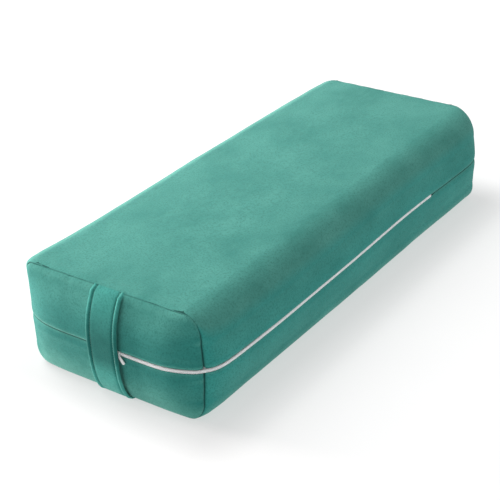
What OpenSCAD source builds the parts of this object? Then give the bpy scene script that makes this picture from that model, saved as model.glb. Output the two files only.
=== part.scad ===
// Rectangular floor bolster: a zipped velvet cover over a filled insert, with one carry handle.
// Long axis along Y, handle end at -Y, zip along the +X side, resting on z = 0. Millimetres.

/* [Bolster] */
// Length between the outermost points of the two end panels
bolster_l = 760; // [640:10:860]
// Width across the two long sides
bolster_w = 310; // [280:2:340]
// Height as it lies on the floor
bolster_h = 152; // [140:2:176]
// Radius of the four long edges
edge_r = 36; // [34:1:44]
// Extra height along the middle of the top
top_crown = 2; // [0:0.5:6]

/* [End panels] */
// How far the end stands out past its top seam
end_crown = 18; // [14:1:28]
// How much further in the seam lies half-way up the sides
seam_side_in = 5; // [2:1:12]
// How much further in the seam lies underneath
seam_low_in = 7; // [6:1:16]
// How far the sides draw in at the end seams
side_pull_in = 11.5; // [4:0.5:14]
// Half the width of the flat middle of each end
end_flat_half = 60; // [40:2:70]

/* [Cover] */
// Thickness of the velvet and its backing
cover_t = 2; // [1.6:0.1:2.4]

/* [Zip] */
// Half the height of the gap that the zip shows through
slot_half = 3.4; // [3.3:0.1:4]
// Half the height of the closed chain
chain_half = 2.2; // [2:0.1:2.3]
// How far each tape reaches from the middle of the zip
tape_reach = 13; // [10:1:14]
// Where the slider sits when the zip is closed, from the middle of the end
slider_x = 22; // [21:0.5:26]

/* [Handle] */
// Width of the strap
handle_w = 50; // [40:1:56]
// Sideways place of the strap's middle
handle_x = 3; // [-2:0.5:4]
// Room between the strap and the end panel at mid-height
handle_gap = 5; // [4.4:0.2:12]
// Thickness of the strap
handle_t = 3; // [2.6:0.1:4]

/* [Filling] */
// Thickness of the inner case's cloth
case_t = 1.2; // [0.8:0.1:1.6]
// Thickness of the wadding around the foam
wadding_t = 15; // [10:1:18]
// Room between one layer and the next
layer_gap = 0.4; // [0.3:0.1:0.6]
// Room between the inner case and the wadding
wadding_gap = 1.4; // [1.2:0.1:2]

/* [Hidden] */
$fn = 48;

half_l = bolster_l / 2;
half_w = bolster_w / 2;
mid_z = bolster_h / 2;
low_h = bolster_h / 2;
up_h = bolster_h / 2 - top_crown;
seam_top_y = half_l - end_crown;
seam_mid_y = seam_top_y - seam_side_in;
seam_low_y = seam_top_y - seam_low_in;
pull_length = 28;
side_bulge = 1.5;

// The handle stands past the front end, so the cushion sits back by half of that.
handle_out = handle_gap + handle_t;
back_shift = handle_out / 2;

// Layers, as distances in from the outside of the cover.
case_in = cover_t + layer_gap;
wadding_in = case_in + case_t + wadding_gap;
core_in = wadding_in + wadding_t + layer_gap;
channel = 2.8;
channel_low = 9;
channel_high = 15;

// The zip's layers, as distances in from the outside of the cover.
coil_top = 0.4;
coil_back = 2.1;
coil_split = 0.6;
tape_top = 2.3;
tape_back = 3.2;
tape_split = 0.7;
slider_l = 11;
slider_travel = 45;
chain_start_x = slider_x - slider_l / 2 - 0.3;
stop_l = 1.6;
zip_end_t = 0.566;
zip_shut_t = 0.6;
leg_r = 0.9;
eye_clear = 0.4;
eye_rim = 1.6;
tab_w = 4.6;
tab_l = 15;
tab_t = 1;
tab_tilt = 42;

// The handle's cuts between its fixed ends and its lifting grip.
grip_top_z = 112;
grip_low_z = 36;
webbing_t = 1.2;
webbing_edge = 5;
pocket_gap = 0.25;

velvet = [0.24, 0.50, 0.46];
velvet_dark = [0.20, 0.43, 0.40];
white_nylon = [0.88, 0.89, 0.90];
white_enamel = [0.92, 0.93, 0.93];
steel = [0.70, 0.71, 0.73];
cotton = [0.90, 0.88, 0.82];
wadding = [0.95, 0.95, 0.93];
foam = [0.93, 0.89, 0.70];

// ---- the cushion's outline -------------------------------------------------

// Stations along the length, as a share of the way from the middle to the seam.
stations = [-1, -0.985, -0.965, -0.94, -0.9, -0.84, -0.72, -0.5, -0.2, 0.1, 0.38,
  zip_end_t, zip_shut_t, 0.72, 0.84, 0.9, 0.94, 0.965, 0.985, 1];

// Places across the top, as a share of its flat half-width.
inner_shares = [0.955, 0.89, 0.81, 0.7, 0.52, 0.3, 0.1];
across = concat([1], inner_shares, [for (i = [len(inner_shares) - 1:-1:0]) -inner_shares[i]], [-1]);

arc_steps = [for (a = [15:15:90]) a];
side_steps = [channel_low, channel_high];

// A knot is [side or share, kind, value]: kind 0 a height on the side, 1 an angle round the edge,
// 2 a share across the top.
function edge_knots(side) = concat(
  [for (z = side_steps) [side, 0, z]],
  [[side, 1, 0]],
  [for (a = arc_steps) [side, 1, a]]);

function turned(list) = [for (i = [len(list) - 1:-1:0]) list[i]];

function half_knots(slot) = concat(
  [[1, 0, slot]],
  edge_knots(1),
  [for (i = [1:len(across) - 2]) [across[i], 2, 0]],
  turned(edge_knots(-1)),
  [[-1, 0, 0]]);

function body_h(up) = up ? up_h : low_h;

function knot_height(k, up) =
  k[1] == 0 ? k[2] :
  k[1] == 1 ? body_h(up) - edge_r + edge_r * sin(k[2]) :
  body_h(up);

function seam_reach(share, up) = seam_mid_y
  + (up ? seam_top_y - seam_mid_y : seam_low_y - seam_mid_y) * share * share;

function side_pull(y) = side_pull_in * exp((abs(y) - seam_mid_y) / pull_length);

function side_sign(v) = v < 0 ? -1 : 1;

// One point of the layer that lies depth inside the cover; back is how far its end seam is drawn back.
function skin_point(k, t, depth, back, groove, up) =
  let (
    b = body_h(up),
    reach = seam_reach(knot_height(k, up) / b, up) - back,
    y = t * reach,
    w = half_w - side_pull(t * (reach + back)) - depth,
    r = edge_r - depth,
    dent = k[1] == 0 && k[2] < channel_high ? groove : 0,
    centre = w - side_bulge - r,
    rise = up ? top_crown * (1 - k[0] * k[0]) * (1 - t * t * t * t) : 0,
    x = k[1] == 0 ? w - dent - side_bulge * pow(k[2] / (b - edge_r), 2) :
        k[1] == 1 ? centre + r * cos(k[2]) :
        centre * abs(k[0]),
    z = k[1] == 0 ? k[2] :
        k[1] == 1 ? b - edge_r + r * sin(k[2]) :
        b - depth + rise)
  [side_sign(k[0]) * x, y + back_shift, mid_z + (up ? z : -z)];

// How far the end panel swells out, from 0 at its seam to 1 in the middle.
function swell(x, edge_x, share) =
  let (s = max(0, (abs(x) - end_flat_half) / (edge_x - end_flat_half)))
  pow(max(0, 1 - s * s * s), 0.75) * pow(max(0, 1 - share * share * share), 0.6);

function end_point(k, f, end, depth, back, groove, up, slot) =
  let (
    share = knot_height(k, up) / body_h(up),
    rim = skin_point(k, end, depth, back, groove, up),
    reach = seam_reach(share, up) - back,
    dent = k[1] == 0 && k[2] < channel_high ? groove : 0,
    x = f * rim[0],
    y = reach + (half_l - depth - dent - reach) * swell(x, rim[0], share),
    z = k[1] == 0 && k[2] < channel_low ? mid_z + (up ? 1 : -1) * (f > 0 ? slot : 0) : rim[2])
  [x, end * y + back_shift, z];

// ---- building closed solids from grids -------------------------------------

// Points are kept to a ten-thousandth of a millimetre, so that shared corners are exactly the same.
function snapped(p) = [for (v = p) round(v * 10000) / 10000];

function flat(lists) = [for (a = lists) for (b = a) snapped(b)];

function grid_faces(rows, cols, start, flip) = [
  for (i = [0:rows - 2]) for (j = [0:cols - 2])
    let (
      a = start + i * cols + j,
      b = a + 1,
      c = a + cols + 1,
      d = a + cols)
    each (flip ? [[a, d, c], [a, c, b]] : [[a, b, c], [a, c, d]])];

function rim_indices(rows, cols) = concat(
  [for (j = [0:cols - 1]) j],
  [for (i = [1:rows - 1]) i * cols + cols - 1],
  [for (j = [cols - 2:-1:0]) (rows - 1) * cols + j],
  [for (i = [rows - 2:-1:1]) i * cols]);

function rim_faces(rim, step, flip) = [
  for (i = [0:len(rim) - 1])
    let (
      a = rim[i],
      b = rim[(i + 1) % len(rim)])
    each (flip ? [[a, b, b + step], [a, b + step, a + step]]
               : [[b, a, a + step], [b, a + step, b + step]])];

// A sheet with an outer and an inner face, closed round its edges.
module sheet_between(outer, inner, flip) {
  rows = len(outer);
  cols = len(outer[0]);
  step = rows * cols;
  polyhedron(
    points = concat(flat(outer), flat(inner)),
    faces = concat(
      grid_faces(rows, cols, 0, flip),
      grid_faces(rows, cols, step, !flip),
      rim_faces(rim_indices(rows, cols), step, flip)),
    convexity = 6);
}

function ring_faces(rows, cols, start, flip) = [
  for (i = [0:rows - 2]) for (j = [0:cols - 1])
    let (
      n = (j + 1) % cols,
      a = start + i * cols + j,
      b = start + i * cols + n,
      c = start + (i + 1) * cols + n,
      d = start + (i + 1) * cols + j)
    each (flip ? [[a, d, c], [a, c, b]] : [[a, b, c], [a, c, d]])];

function cap_faces(cols, a_row, b_row, flip) = [
  for (j = [0:cols - 1])
    let (
      n = (j + 1) % cols,
      a = a_row + j,
      b = a_row + n,
      c = b_row + n,
      d = b_row + j)
    each (flip ? [[a, d, c], [a, c, b]] : [[a, b, c], [a, c, d]])];

// A tube with an outer and an inner face, closed at both ends.
module tube_between(outer, inner) {
  rows = len(outer);
  cols = len(outer[0]);
  step = rows * cols;
  last = (rows - 1) * cols;
  polyhedron(
    points = concat(flat(outer), flat(inner)),
    faces = concat(
      ring_faces(rows, cols, 0, false),
      ring_faces(rows, cols, step, true),
      cap_faces(cols, 0, step, true),
      cap_faces(cols, last, step + last, false)),
    convexity = 6);
}

function full_ring(t, depth, back, groove) = concat(
  [for (k = half_knots(0)) skin_point(k, t, depth, back, groove, true)],
  [for (k = turned([for (i = [1:len(half_knots(0)) - 2]) half_knots(0)[i]]))
    skin_point(k, t, depth, back, groove, false)]);

// ---- cover ------------------------------------------------------------------

function slot_at(t) = t <= zip_end_t ? slot_half : 0;

function wrap_grid(depth, up) = [
  for (t = stations)
    [for (k = half_knots(slot_at(t))) skin_point(k, t, depth, 0, 0, up)]];

function panel_grid(end, depth, back, groove, up, slot) = [
  for (k = concat([[1, 0, 0]], edge_knots(1)))
    [for (f = end > 0 ? turned(across) : across) end_point(k, f, end, depth, back, groove, up, slot)]];

module wrap_shell(up) {
  sheet_between(wrap_grid(0, up), wrap_grid(cover_t, up), !up);
}

module panel_shell(end, up, slot) {
  sheet_between(
    panel_grid(end, 0, 0, 0, up, slot),
    panel_grid(end, cover_t, 0, 0, up, slot),
    !up);
}

module cover_upper_wrap() {
  color(velvet)
    wrap_shell(true);
}

module cover_lower_wrap() {
  color(velvet)
    wrap_shell(false);
}

module front_panel_upper() {
  color(velvet_dark)
    panel_shell(-1, true, slot_half);
}

module front_panel_lower() {
  color(velvet_dark)
    panel_shell(-1, false, slot_half);
}

module rear_panel_upper() {
  color(velvet_dark)
    panel_shell(1, true, 0);
}

module rear_panel_lower() {
  color(velvet_dark)
    panel_shell(1, false, 0);
}

// ---- zip --------------------------------------------------------------------

// Plan of the zip's run: across the front end, round the corner and along the side.
end_run = [for (i = [len(across) / 2 - 1:-1:0]) across[i]];
side_run = [for (t = stations) if (t > -1 && t <= zip_end_t) t];

function run_on_end(x, depth) =
  let (edge_x = half_w - side_pull(seam_mid_y) - depth)
  [x, -(seam_mid_y + (half_l - depth - seam_mid_y) * swell(x, edge_x, 0)) + back_shift];

function zip_run(depth, start_x, stop_back) =
  let (edge_x = half_w - side_pull(seam_mid_y) - depth)
  concat(
    [run_on_end(start_x, depth)],
    [for (f = end_run) if (f * edge_x > start_x + 1) run_on_end(f * edge_x, depth)],
    [for (t = side_run)
      let (y = t * seam_mid_y - (t == zip_end_t ? stop_back : 0))
      [half_w - side_pull(y) - depth, y + back_shift]]);

module zip_strip(front, rear, low, high, start_x, stop_back) {
  outer = zip_run(front, start_x, stop_back);
  inner = zip_run(rear, start_x, stop_back);
  translate([0, 0, mid_z + low])
    linear_extrude(high - low)
      polygon([for (p = concat(outer, turned(inner))) snapped(p)]);
}

module zip_tape_upper() {
  color(white_nylon)
    zip_strip(tape_top, tape_back, tape_split, tape_reach, chain_start_x - stop_l, 2);
}

module zip_tape_lower() {
  color(white_nylon)
    zip_strip(tape_top, tape_back, -tape_reach, -tape_split, chain_start_x - stop_l, 2);
}

module zip_coil_upper() {
  color(white_nylon)
    zip_strip(coil_top, coil_back, coil_split, chain_half, chain_start_x, 6);
}

module zip_coil_lower() {
  color(white_nylon)
    zip_strip(coil_top, coil_back, -chain_half, -coil_split, chain_start_x, 6);
}

module zip_top_stops() {
  front_y = -half_l + back_shift;
  color(steel)
    for (low = [coil_split, -chain_half])
      translate([chain_start_x - stop_l, front_y + coil_top - 0.2, mid_z + low])
        cube([stop_l - 0.1, tape_top - coil_top + 0.2, chain_half - coil_split]);
}

module zip_bottom_stop() {
  end_y = zip_end_t * seam_mid_y + back_shift;
  color(steel)
    translate([half_w - tape_top + 0.05, end_y - 5.5, mid_z - chain_half])
      cube([tape_top - coil_top + 0.1, 3, 2 * chain_half]);
}

module zip_slider() {
  plate_t = 1.2;
  front_y = -half_l + back_shift;
  plate_half = 4.2;
  leg_gap = 5.6;
  bar_t = 0.7;
  leg_h = tab_t + 0.9;
  color(white_enamel)
    translate([slider_x, front_y, mid_z])
      union() {
        // front plate, with its nose rounded
        translate([0, -0.3, 0])
          rotate([90, 0, 0])
            linear_extrude(plate_t)
              intersection() {
                square([slider_l, 2 * plate_half], center = true);
                circle(r = 6.2);
              }
        // flanges that hold the two rows of the chain together
        for (low = [chain_half + 0.25, -slot_half + 0.25])
          translate([-slider_l / 2 + 1, -0.4, low])
            cube([slider_l - 2, coil_back + 0.4, slot_half - chain_half - 0.5]);
        // post between the rows, and the plate behind the tapes
        translate([-1.5, -0.4, -0.4])
          cube([3, tape_back + 0.8, 0.8]);
        translate([-slider_l / 2 + 1, tape_back + 0.3, -3.4])
          cube([slider_l - 2, 0.9, 6.8]);
        // two legs and the bar that keep the pull tab on
        for (x = [0, -leg_gap])
          translate([x + leg_gap / 2, -0.3 - plate_t + 0.2, 0])
            rotate([90, 0, 0])
              cylinder(r = leg_r, h = leg_h + 0.2);
        translate([-leg_gap / 2 - leg_r, -0.3 - plate_t - leg_h - bar_t, -1.3])
          cube([leg_gap + 2 * leg_r, bar_t, 2.6]);
      }
}

module zip_pull_tab() {
  eye_r = leg_r + eye_clear;
  leg_x = slider_x + 2.8;
  color(white_enamel)
    translate([leg_x, -half_l + back_shift - 1.9, mid_z])
      rotate([90, 90 - tab_tilt, 0])
        linear_extrude(tab_t)
          difference() {
            union() {
              circle(r = eye_r + eye_rim);
              translate([0, -tab_w / 2])
                square([tab_l - tab_w / 2, tab_w]);
              translate([tab_l - tab_w / 2, 0])
                circle(r = tab_w / 2);
            }
            circle(r = eye_r);
          }
}

// ---- handle -----------------------------------------------------------------

function rise_share(z) = abs(z - mid_z) / (z > mid_z ? up_h : low_h);

function panel_y(z) =
  let (
    share = rise_share(z),
    reach = seam_reach(share, z > mid_z))
  -(reach + (half_l - reach) * pow(max(0, 1 - share * share * share), 0.6));

function lift_at(z) = 0.35 + (handle_gap - 0.35) * pow(max(0, 1 - pow(rise_share(z), 2.5)), 0.8);

function strap_line(z, out) = [panel_y(z) - lift_at(z) - out + back_shift, z];

// Heights from low to high, with one more place past each end when past is above 0.
function heights(low, high, steps, past) = concat(
  past > 0 ? [low - past] : [],
  [for (i = [0:steps]) low + (high - low) * i / steps],
  past > 0 ? [high + past] : []);

module strap_profile(low, high, steps, inner, outer, past) {
  places = heights(low, high, steps, past);
  polygon(concat(
    [for (z = places) snapped(strap_line(z, inner))],
    turned([for (z = places) snapped(strap_line(z, outer))])));
}

module strap_piece(low, high, steps, inner, outer, edge, past) {
  translate([handle_x - handle_w / 2 + edge, 0, 0])
    rotate([90, 0, 90])
      linear_extrude(handle_w - 2 * edge)
        strap_profile(low, high, steps, inner, outer, past);
}

webbing_in = (handle_t - webbing_t) / 2;

module sleeve(low, high, steps) {
  difference() {
    strap_piece(low, high, steps, 0, handle_t, 0, 0);
    strap_piece(
      low, high, steps,
      webbing_in - pocket_gap, webbing_in + webbing_t + pocket_gap,
      webbing_edge - pocket_gap, 1);
  }
}

module webbing(low, high, steps) {
  strap_piece(low, high, steps, webbing_in, webbing_in + webbing_t, webbing_edge, 0);
}

strap_top_z = mid_z + up_h - 2;
strap_low_z = 3;

module handle_sleeve_top() {
  color(velvet_dark)
    sleeve(grip_top_z, strap_top_z, 8);
}

module handle_sleeve_grip() {
  color(velvet_dark)
    sleeve(grip_low_z, grip_top_z, 10);
}

module handle_sleeve_bottom() {
  color(velvet_dark)
    sleeve(strap_low_z, grip_low_z, 8);
}

module handle_webbing_top() {
  color(cotton)
    webbing(grip_top_z, strap_top_z, 8);
}

module handle_webbing_grip() {
  color(cotton)
    webbing(grip_low_z, grip_top_z, 10);
}

module handle_webbing_bottom() {
  color(cotton)
    webbing(strap_low_z, grip_low_z, 8);
}

// ---- filling ----------------------------------------------------------------

case_back = cover_t + layer_gap;
wadding_back = case_back + case_t + wadding_gap;
pad_joint = 0.9;
core_stations = [-pad_joint, -0.45, 0, 0.45, pad_joint];

module case_tube() {
  color(cotton)
    tube_between(
      [for (t = stations) full_ring(t, case_in, case_back, channel)],
      [for (t = stations) full_ring(t, case_in + case_t, case_back, channel)]);
}

function whole_end_grid(end, depth, back) = concat(
  turned([for (row = panel_grid(end, depth, back, channel, false, 0)) row]),
  [for (i = [1:len(edge_knots(1))]) panel_grid(end, depth, back, channel, true, 0)[i]]);

module case_end(end) {
  sheet_between(
    whole_end_grid(end, case_in, case_back),
    whole_end_grid(end, case_in + case_t, case_back),
    false);
}

module case_front_end() {
  color(cotton)
    case_end(-1);
}

module case_rear_end() {
  color(cotton)
    case_end(1);
}

// The foam block's outline, constant along its length.
function core_ring(y, extra) =
  let (
    w = half_w - core_in + extra - channel,
    up_z = up_h - core_in + extra,
    low_z = low_h - core_in + extra,
    r = 12 + extra)
  [for (q = [[w, up_z, 0], [-w, up_z, 90], [-w, -low_z, 180], [w, -low_z, 270]])
    for (a = [0:15:90])
      [q[0] - (q[0] > 0 ? r : -r) + r * cos(q[2] + a), y + back_shift,
       mid_z + q[1] - (q[1] > 0 ? r : -r) + r * sin(q[2] + a)]];

core_half_l = pad_joint * (seam_low_y - wadding_back);

module foam_core() {
  ring = core_ring(0, 0);
  color(foam)
    translate([0, core_half_l + back_shift, 0])
      rotate([90, 0, 0])
        linear_extrude(2 * core_half_l)
          polygon([for (p = ring) snapped([p[0], p[2]])]);
}

module wadding_wrap() {
  color(wadding)
    difference() {
      layer_solid(-core_half_l, core_half_l);
      translate([0, core_half_l + 1 + back_shift, 0])
        rotate([90, 0, 0])
          linear_extrude(2 * core_half_l + 2)
            polygon([for (p = core_ring(0, layer_gap)) snapped([p[0], p[2]])]);
    }
}

// The wadding's outer form between two places along the length, with flat ends.
module layer_solid(y_low, y_high) {
  ys = [for (i = [0:12]) y_low + (y_high - y_low) * i / 12];
  rings = [for (y = ys)
    [for (p = full_ring(0, wadding_in, 0, channel))
      [side_sign(p[0]) * (abs(p[0]) - side_pull(y)), y + back_shift, p[2]]]];
  cols = len(rings[0]);
  last = (len(rings) - 1) * cols;
  polyhedron(
    points = flat(rings),
    faces = concat(
      ring_faces(len(rings), cols, 0, false),
      [[for (j = [cols - 1:-1:0]) j]],
      [[for (j = [0:cols - 1]) last + j]]),
    convexity = 4);
}

module wadding_pad(end) {
  face = whole_end_grid(end, wadding_in, wadding_back);
  back = [for (row = face) [for (p = row) [p[0], end * (core_half_l + layer_gap) + back_shift, p[2]]]];
  sheet_between(face, back, false);
}

module wadding_front_pad() {
  color(wadding)
    wadding_pad(-1);
}

module wadding_rear_pad() {
  color(wadding)
    wadding_pad(1);
}

cover_upper_wrap();
cover_lower_wrap();
front_panel_upper();
front_panel_lower();
rear_panel_upper();
rear_panel_lower();
zip_tape_upper();
zip_tape_lower();
zip_coil_upper();
zip_coil_lower();
zip_top_stops();
zip_bottom_stop();
zip_slider();
zip_pull_tab();
handle_sleeve_top();
handle_sleeve_grip();
handle_sleeve_bottom();
handle_webbing_top();
handle_webbing_grip();
handle_webbing_bottom();
case_tube();
case_front_end();
case_rear_end();
wadding_wrap();
wadding_front_pad();
wadding_rear_pad();
foam_core();
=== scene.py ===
"""Looks for the rectangular floor bolster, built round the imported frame. Metres, in the row frame."""

import math

import bmesh
import bpy
import numpy as np
from mathutils import Matrix, Vector


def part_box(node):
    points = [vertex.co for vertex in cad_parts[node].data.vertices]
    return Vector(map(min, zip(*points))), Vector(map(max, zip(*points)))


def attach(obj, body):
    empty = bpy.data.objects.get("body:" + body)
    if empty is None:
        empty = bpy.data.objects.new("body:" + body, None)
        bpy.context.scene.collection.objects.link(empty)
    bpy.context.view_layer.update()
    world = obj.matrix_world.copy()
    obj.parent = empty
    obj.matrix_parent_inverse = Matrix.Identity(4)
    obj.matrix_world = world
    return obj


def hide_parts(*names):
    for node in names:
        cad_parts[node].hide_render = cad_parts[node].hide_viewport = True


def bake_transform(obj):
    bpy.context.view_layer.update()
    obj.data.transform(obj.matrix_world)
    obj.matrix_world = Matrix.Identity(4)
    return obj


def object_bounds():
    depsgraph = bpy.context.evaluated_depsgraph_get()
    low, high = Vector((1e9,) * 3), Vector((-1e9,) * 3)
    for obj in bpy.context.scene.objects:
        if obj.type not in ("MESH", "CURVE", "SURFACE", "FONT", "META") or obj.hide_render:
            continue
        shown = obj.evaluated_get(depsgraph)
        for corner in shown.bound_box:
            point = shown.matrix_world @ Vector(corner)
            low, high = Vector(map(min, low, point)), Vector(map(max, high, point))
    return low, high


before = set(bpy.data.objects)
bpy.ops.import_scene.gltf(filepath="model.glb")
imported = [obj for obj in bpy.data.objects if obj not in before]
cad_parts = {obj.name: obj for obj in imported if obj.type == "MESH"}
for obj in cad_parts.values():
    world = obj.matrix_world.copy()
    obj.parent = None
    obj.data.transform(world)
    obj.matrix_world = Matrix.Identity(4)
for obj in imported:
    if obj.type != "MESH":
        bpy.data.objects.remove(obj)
CAD_LOW, CAD_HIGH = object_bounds()
scene = bpy.context.scene
MM = 0.001

# ---- camera: fitted to the photograph's outline, in degrees and metres ---------------------

VIEW_AZIMUTH = 36.01
VIEW_ELEVATION = 28.75
VIEW_ROLL = -2.47
VIEW_DISTANCE = 1.8964
VIEW_LENS_MM = 94.28
SENSOR_MM = 36.0
AIM_RIGHT = -0.0342
AIM_UP = -0.0388
AIM_HEIGHT = 0.080

# ---- the cushion's outline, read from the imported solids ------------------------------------

_, upper_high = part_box("cover_upper_wrap")
_, lower_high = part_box("cover_lower_wrap")
front_low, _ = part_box("front_panel_upper")
_, rear_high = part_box("rear_panel_upper")
MID_Y = (front_low.y + rear_high.y) / 2
HALF_L = (rear_high.y - front_low.y) / 2 - 0.8 * MM
HALF_W = upper_high.x - 0.8 * MM
MID_Z = lower_high.z
TOP_CROWN = 2 * MM
UP_H = upper_high.z - MID_Z + 3.0 * MM
LOW_H = MID_Z
SEAM_TOP = 362.6 * MM
SEAM_MID = 357.4 * MM
SEAM_LOW = 359.6 * MM
SIDE_BULGE = 3.8 * MM
END_FLAT = 60 * MM
ZIP_START_X = 16.5 * MM
ZIP_END_Y = 0.198
# Half the gap over the chain, at the front end and at the far end of the zip.
SLOT_HALF = 2.3 * MM
SLOT_FAR = 0.75 * MM
SLOT_LENGTH = 0.21
SEAM_TURN = 4.5 * MM
CLOTH_T = 1.4 * MM

# Edge radii by (upper half, side): the filling has settled unevenly.
EDGE_R = {(True, 1): 40 * MM, (True, -1): 29.5 * MM, (False, 1): 34 * MM, (False, -1): 34 * MM}
# The near top corner on the -X side is pushed out squarer than the rest.
CORNER_PUSH = 3.5 * MM
CORNER_REACH = 75 * MM
# How far the sides draw in at the end seams: by end at mid-height, and by (upper half, side, end)
# at the corners.
DRAW_LENGTH = 12.8 * MM
DRAW_MID = {-1: 14.3 * MM, 1: 12.3 * MM}
DRAW_CORNER = {
    (True, 1, -1): -2.9 * MM, (True, -1, -1): 2.6 * MM,
    (False, 1, -1): 2.6 * MM, (False, -1, -1): 0.4 * MM,
    (True, 1, 1): 8.3 * MM, (True, -1, 1): 5.0 * MM,
    (False, 1, 1): -5.0 * MM, (False, -1, 1): 0.4 * MM,
}
# The share of the half height over which the seam's rise dies out.
RISE_FADE = 0.8


def smooth(t):
    t = np.clip(t, 0, 1)
    return t * t * (3 - 2 * t)


def bell(v, centre, width):
    return np.exp(-(((v - centre) / width) ** 2))


# ---- repeatable value noise ------------------------------------------------------------------


def lattice(i, j, k, seed):
    n = np.sin(i * 127.1 + j * 311.7 + k * 74.7 + seed * 53.3) * 43758.5453
    return n - np.floor(n)


def value_noise(x, y, z, seed):
    """Smooth noise from -1 to 1, one lattice cell a unit."""
    xi, yi, zi = np.floor(x), np.floor(y), np.floor(z)
    u, v, w = smooth(x - xi), smooth(y - yi), smooth(z - zi)
    total = 0
    for dx in (0, 1):
        for dy in (0, 1):
            for dz in (0, 1):
                share = (u if dx else 1 - u) * (v if dy else 1 - v) * (w if dz else 1 - w)
                total = total + share * lattice(xi + dx, yi + dy, zi + dz, seed)
    return 2 * total - 1


def layered_noise(p, size, seed, layers=3):
    total, weight, reach = 0, 1.0, size
    for n in range(layers):
        layer = value_noise(p[..., 0] / reach, p[..., 1] / reach, p[..., 2] / reach, seed + n)
        total = total + weight * layer
        weight *= 0.5
        reach *= 0.5
    return total / 1.75


# ---- outline functions -----------------------------------------------------------------------


def body_h(up):
    return UP_H if up else LOW_H


def seam_reach(share, up):
    more = (SEAM_TOP if up else SEAM_LOW) - SEAM_MID
    return SEAM_MID + more * share * share


def draw_in(y, share, side, up):
    """How far a side is drawn in by the end seams, least at the corners."""
    total = 0
    for end in (-1, 1):
        corner = np.where(side > 0, DRAW_CORNER[(up, 1, end)], DRAW_CORNER[(up, -1, end)])
        most = DRAW_MID[end] + (corner - DRAW_MID[end]) * share**2
        total = total + most * np.exp((end * y - SEAM_MID) / DRAW_LENGTH)
    return total


def side_line(y, share, side, up):
    """How the long sides wander in and out along the length."""
    line = 1.9 * MM * bell(y, -0.225, 0.09) - 3.2 * MM * bell(y, 0.13, 0.14)
    if not up:
        foot = 2.7 * MM + 3.3 * MM * bell(y, -0.225, 0.11) - 3.6 * MM * bell(y, 0.13, 0.16)
        line = line - share**2 * foot
    return np.where(side > 0, line, 1.0 * MM * np.sin(y * 9 + 1))


def zip_rise(y):
    """How the mid-height seam rises along the side."""
    return 1.1 * MM + 1.45 * MM * bell(y, -0.30, 0.16) + 1.6 * MM * bell(y, 0.14, 0.13)


def front_rise(x):
    """The same rise on the front end: none beside the slider, all of it at the corner."""
    return zip_rise(-SEAM_MID) * smooth((x - 0.078) / 0.052)


# Heights over the mid-height seam: the close rows at it, and where the even rows start.
NEAR_SEAM = np.array([0, 0.7, 1.5, 2.6, 4.0]) * MM
PAST_SEAM = 0.006


def section_columns(up, spacing):
    """Columns round half the section, as (side, kind, value, edge radius).

    Kind 0 is the upright side, whose value is a height, 1 the rounded edge, whose value is an angle, and
    2 the flat, whose value is a share of its half width.
    """
    b = body_h(up)
    cols = []
    for side in (1, -1):
        r = EDGE_R[(up, side)]
        side_steps = max(4, int((b - r) / spacing)) + 1
        arc_steps = max(6, int(r * math.pi / 2 / spacing)) + 1
        side_z = np.concatenate([NEAR_SEAM, np.linspace(PAST_SEAM, b - r, side_steps)[:-1]])
        arc_a = np.linspace(0, math.pi / 2, arc_steps)[:-1]
        flat_f = np.linspace(1, 0, int((HALF_W - r) / spacing) + 1)
        half = [(side, kind, v, r) for kind, values in enumerate((side_z, arc_a, flat_f)) for v in values]
        cols += half if side > 0 else half[::-1][1:]
    return np.array(cols, float)


def rim_columns(up, side, spacing):
    """The knots of one side's rim, from mid-height to the start of the flat top."""
    cols = section_columns(up, spacing)
    cols = cols[cols[:, 0] == side] if side > 0 else cols[cols[:, 0] == side][::-1]
    count = int(np.argmax(cols[:, 1] == 2)) + 1
    return cols[:count]


def column_height(cols, up):
    b = body_h(up)
    r = cols[:, 3]
    return np.where(cols[:, 1] == 0, cols[:, 2], np.where(cols[:, 1] == 1, b - r + r * np.sin(cols[:, 2]), b))


def skin(cols, t, up, depth=0.0):
    """Points of the long wrap at a depth: one row per station t, one column per knot."""
    b = body_h(up)
    side, kind, value, r = (cols[None, :, k] for k in range(4))
    height = column_height(cols, up)[None, :]
    share = height / b
    y = t[:, None] * seam_reach(share, up)
    w = HALF_W - draw_in(y, share, side, up) + side_line(y, share, side, up) - depth
    centre = w - SIDE_BULGE - (r - depth)
    x = np.where(kind == 0, w - SIDE_BULGE * (value / (b - r)) ** 2,
                 np.where(kind == 1, centre + (r - depth) * np.cos(value), centre * value))
    rise = TOP_CROWN * (1 - value**2) * (1 - t[:, None] ** 4) if up else 0 * x
    z = np.where(kind == 0, value, np.where(kind == 1, b - r + (r - depth) * np.sin(value), b - depth + rise))
    z = np.broadcast_to(z, x.shape)
    if up:
        corner = CORNER_PUSH * bell(y, -SEAM_TOP, CORNER_REACH)
        corner = corner * (side < 0) * (kind == 1) * np.sin(2 * value) ** 2
        x = x + corner * np.cos(value)
        z = z + corner * np.sin(value)
    sign = 1 if up else -1
    lift = zip_rise(y) * (side > 0) * (1 - smooth(z / (b * RISE_FADE)))
    return np.stack([side * x, y + MID_Y, MID_Z + sign * z + lift], -1)


# How the end panels' dome falls off with height, by upper half: a larger power is a more sloping one.
DOME_POWER = {True: 0.95, False: 0.64}


def swell(x, edge_x, share, up):
    """How far an end panel stands out: 1 on its middle part, 0 at its seams."""
    s = np.clip((np.abs(x) - END_FLAT) / (edge_x - END_FLAT), 0, 1)
    return (1 - s**2.8) ** 0.7 * np.clip(1 - share**3, 0, 1) ** DOME_POWER[up]


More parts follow.
